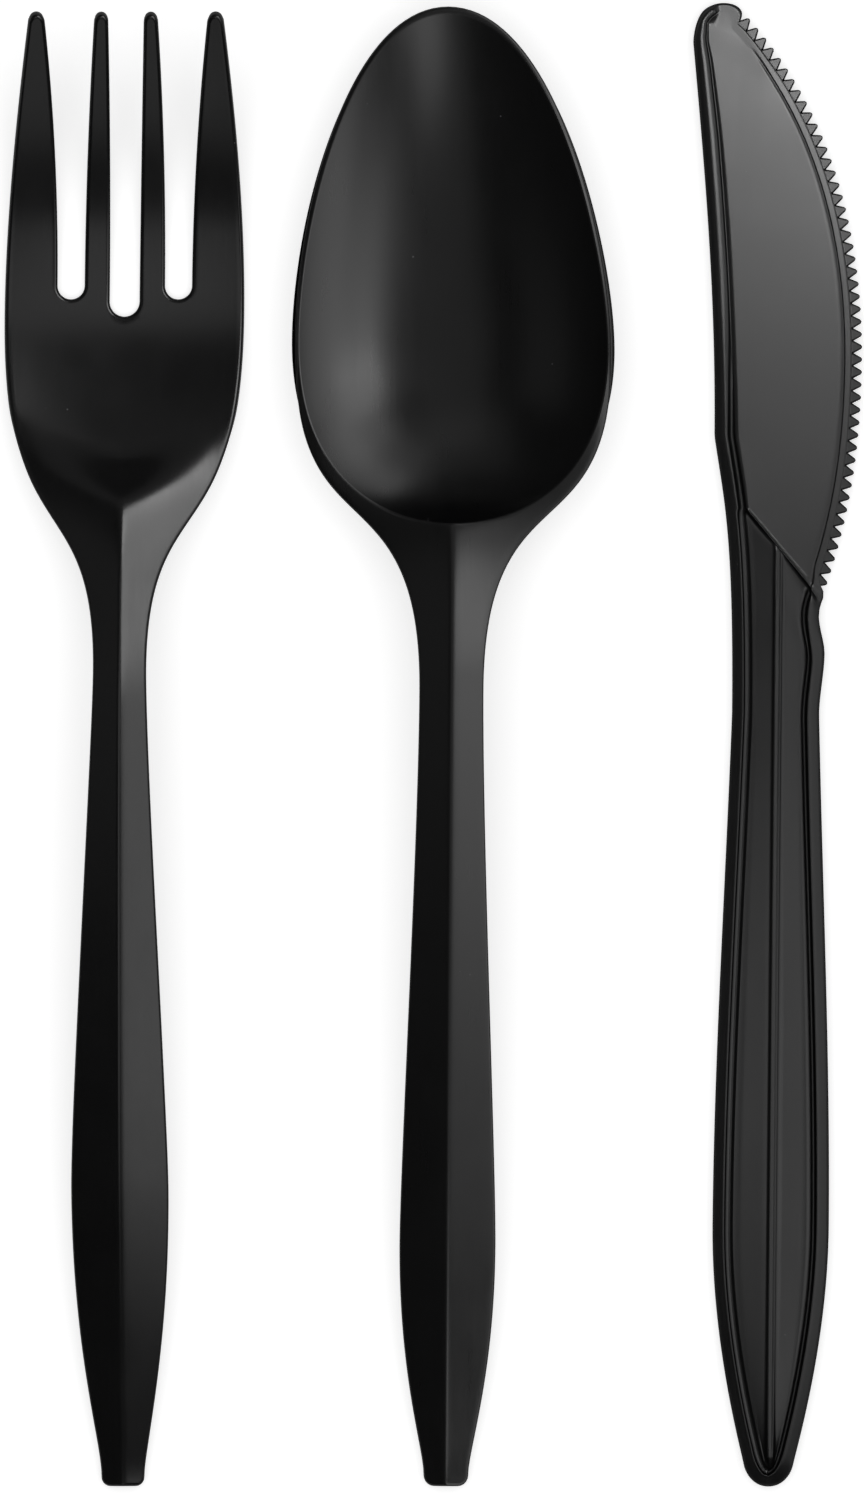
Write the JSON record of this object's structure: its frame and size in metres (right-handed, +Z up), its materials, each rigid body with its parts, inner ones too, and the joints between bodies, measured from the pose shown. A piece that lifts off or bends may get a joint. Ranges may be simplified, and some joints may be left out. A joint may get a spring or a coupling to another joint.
{
  "type": "plastic cutlery set",
  "caption": "Black moulded plastic fork, spoon and serrated table knife of a disposable place setting, lying side by side.",
  "frame": {"origin": "on the table plane, under the middle of the set's outer box", "axes": "+Z up from the table; +Y from the handle ends to the tines, bowl and blade tip; +X from the fork to the knife"},
  "size_m": [0.0956, 0.1651, 0.0126],
  "materials": {
    "fork_plastic": "satin black moulded plastic",
    "spoon_plastic": "satin black moulded plastic",
    "knife_plastic": "satin black moulded plastic"
  },
  "bodies": {
    "root": {"fork": "fork_plastic", "spoon": "spoon_plastic", "knife": "knife_plastic"}
  },
  "joints": []
}
